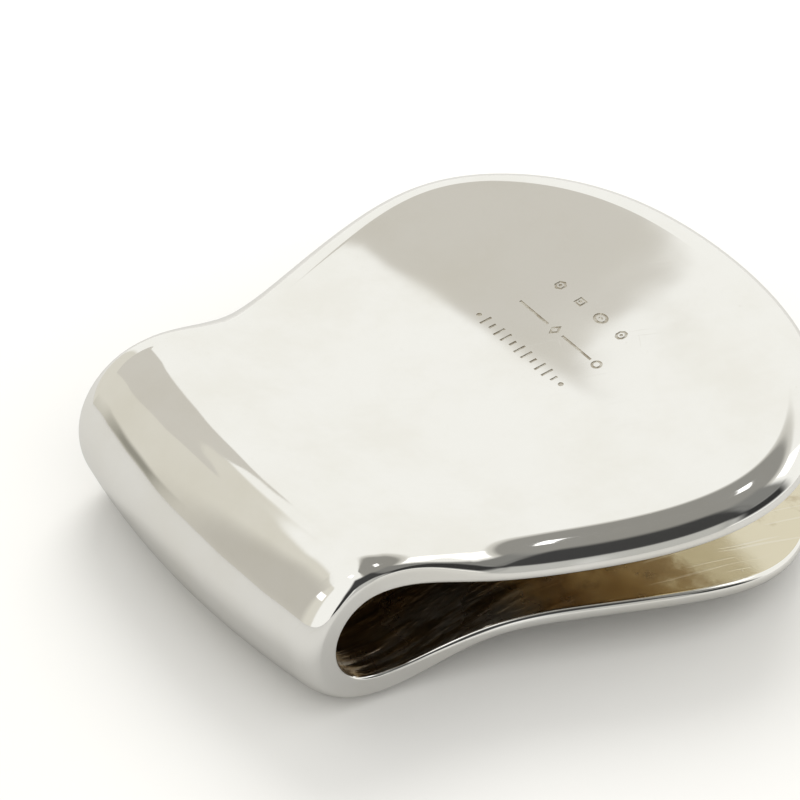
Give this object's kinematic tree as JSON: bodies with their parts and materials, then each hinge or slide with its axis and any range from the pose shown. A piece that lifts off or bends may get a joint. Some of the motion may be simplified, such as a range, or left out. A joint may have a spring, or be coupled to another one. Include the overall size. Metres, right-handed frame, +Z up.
{
  "type": "money clip",
  "caption": "Folded money clip in thick polished silver: two round-ended leaves joined by a tear-drop spring fold, with notes held between them.",
  "frame": {"origin": "on the surface that the clip lies on, under the middle of its outline", "axes": "+X from the fold towards the mouth, +Y across the clip, +Z up from the lower leaf to the upper leaf"},
  "size_m": [0.0462, 0.0412, 0.0132],
  "materials": {
    "silver": "mirror-polished sterling silver with fine handling scratches outside and brown tarnish on the inner faces"
  },
  "bodies": {
    "lower": {"lower_leaf": "silver", "spring_bend": "silver"},
    "upper": {"upper_leaf": "silver"}
  },
  "joints": [
    {"name": "clip_flex", "type": "hinge", "parent": "lower", "child": "upper", "pos_m": [-0.02156, 0, 0.00552], "axis": [0, -1, 0], "range_deg": [-2, 5], "stiffness_Nm_per_rad": 63, "deforming": ["spring_bend"]}
  ]
}
